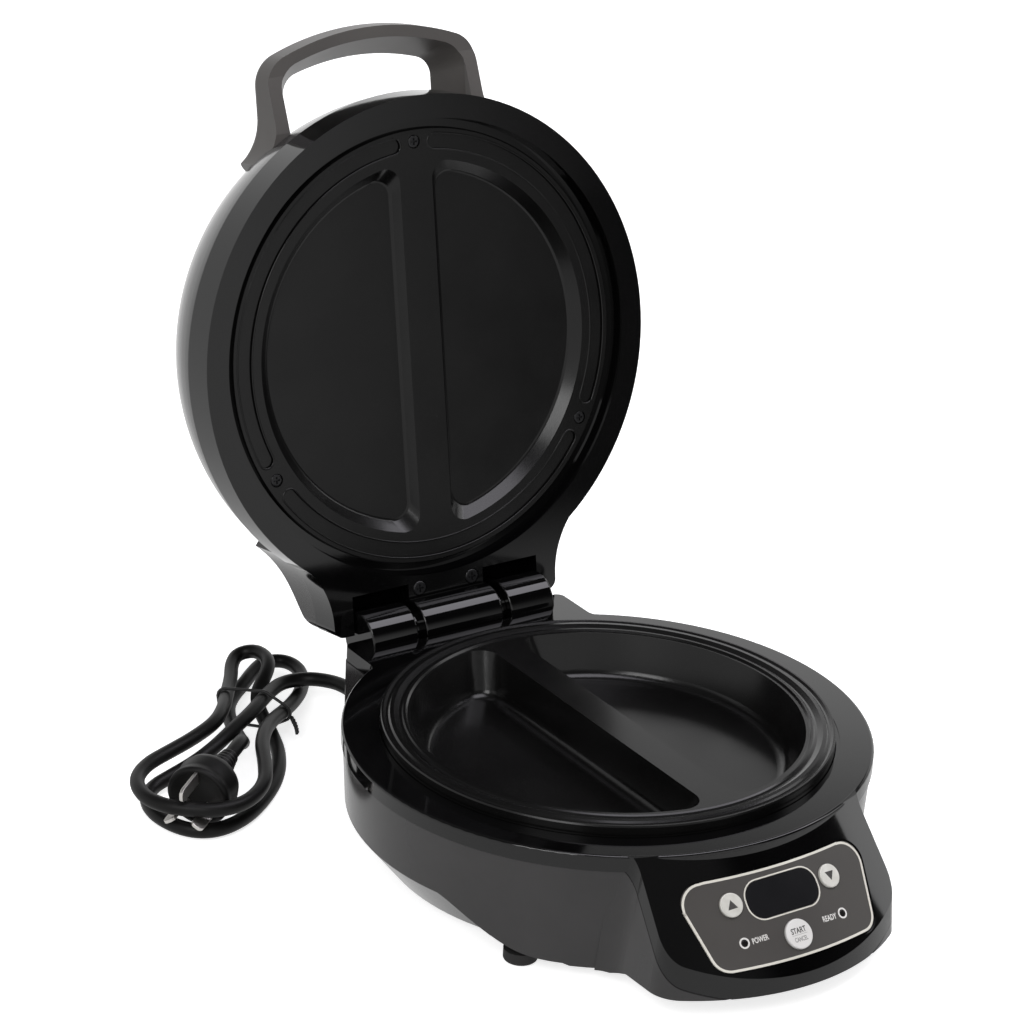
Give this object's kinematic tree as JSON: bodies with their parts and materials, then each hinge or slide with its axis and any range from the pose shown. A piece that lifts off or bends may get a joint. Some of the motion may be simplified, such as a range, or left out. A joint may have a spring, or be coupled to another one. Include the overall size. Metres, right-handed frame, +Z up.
{
  "type": "electric omelette maker",
  "caption": "Round countertop omelette cooker with half-moon pan pockets, a hinged lid with a loop carry handle, a sloped digital control panel and a tied mains cord.",
  "frame": {"origin": "centre of the bounding box of the appliance without its free cord, on the table plane under the feet, with the lid standing open", "axes": "+X to the right as seen by the user at the control panel, +Y from the panel towards the hinge, +Z up"},
  "size_m": [0.2928, 0.3925, 0.3241],
  "materials": {
    "gloss_black": "high gloss moulded",
    "housing_grey": "gloss dark grey moulded",
    "handle_grey": "satin moulded",
    "black_plastic": "moulded",
    "nonstick": "satin black non-stick coating on cast aluminium",
    "steel": "zinc plated",
    "black_steel": "blackened screw",
    "sheet_metal": "aluminised sheet",
    "overlay": "fine matte film",
    "window": "dark display window",
    "board": "solder mask",
    "light_lens": "dark lens",
    "arrow_key": "pearl silver",
    "start_key": "off-white",
    "rubber": "dark rubber",
    "cord_rubber": "matte black sheath",
    "blade_metal": "plated blades"
  },
  "bodies": {
    "base": {"bottom_cover": "black_plastic", "bottom_screws": "steel", "control_board": "board", "cord_gland": "cord_rubber", "cord_hank": "cord_rubber", "cord_tie": "cord_rubber", "display_module": "black_plastic", "display_window": "window", "feet": "rubber", "hinge_pin": "steel", "lower_cooking_plate": "nonstick", "lower_heat_shield": "sheet_metal", "lower_heating_element": "steel", "lower_housing": "housing_grey", "mains_cord": "cord_rubber", "pan_screws": "steel", "panel_overlay": "overlay", "plug_blades": "blade_metal", "plug_body": "cord_rubber", "power_board": "board", "power_light": "light_lens", "ready_light": "light_lens", "thermostat": "sheet_metal", "upper_cover": "gloss_black"},
    "lid": {"hinge_block": "gloss_black", "hinge_screws": "black_steel", "lid_handle": "handle_grey", "lid_ring": "gloss_black", "lid_shell": "housing_grey", "plate_screws": "black_steel", "upper_cooking_plate": "nonstick", "upper_heat_shield": "sheet_metal", "upper_heating_element": "steel"},
    "up_button_body": {"up_button": "arrow_key"},
    "down_button_body": {"down_button": "arrow_key"},
    "start_button_body": {"start_button": "start_key"}
  },
  "joints": [
    {"name": "lid_hinge", "type": "hinge", "parent": "base", "child": "lid", "pos_m": [0, 0.09139, 0.05951], "axis": [1, 0, 0], "range_deg": [0, 99.5]},
    {"name": "up_press", "type": "slide", "parent": "base", "child": "up_button_body", "axis": [0.1168, 0.7404, -0.662], "range_m": [0, 0.0008], "stiffness_N_per_m": 400, "springref_m": -0.0015},
    {"name": "down_press", "type": "slide", "parent": "base", "child": "down_button_body", "axis": [-0.1168, 0.7404, -0.662], "range_m": [0, 0.0008], "stiffness_N_per_m": 400, "springref_m": -0.0015},
    {"name": "start_press", "type": "slide", "parent": "base", "child": "start_button_body", "axis": [0, 0.7455, -0.6665], "range_m": [0, 0.0008], "stiffness_N_per_m": 400, "springref_m": -0.0015}
  ]
}
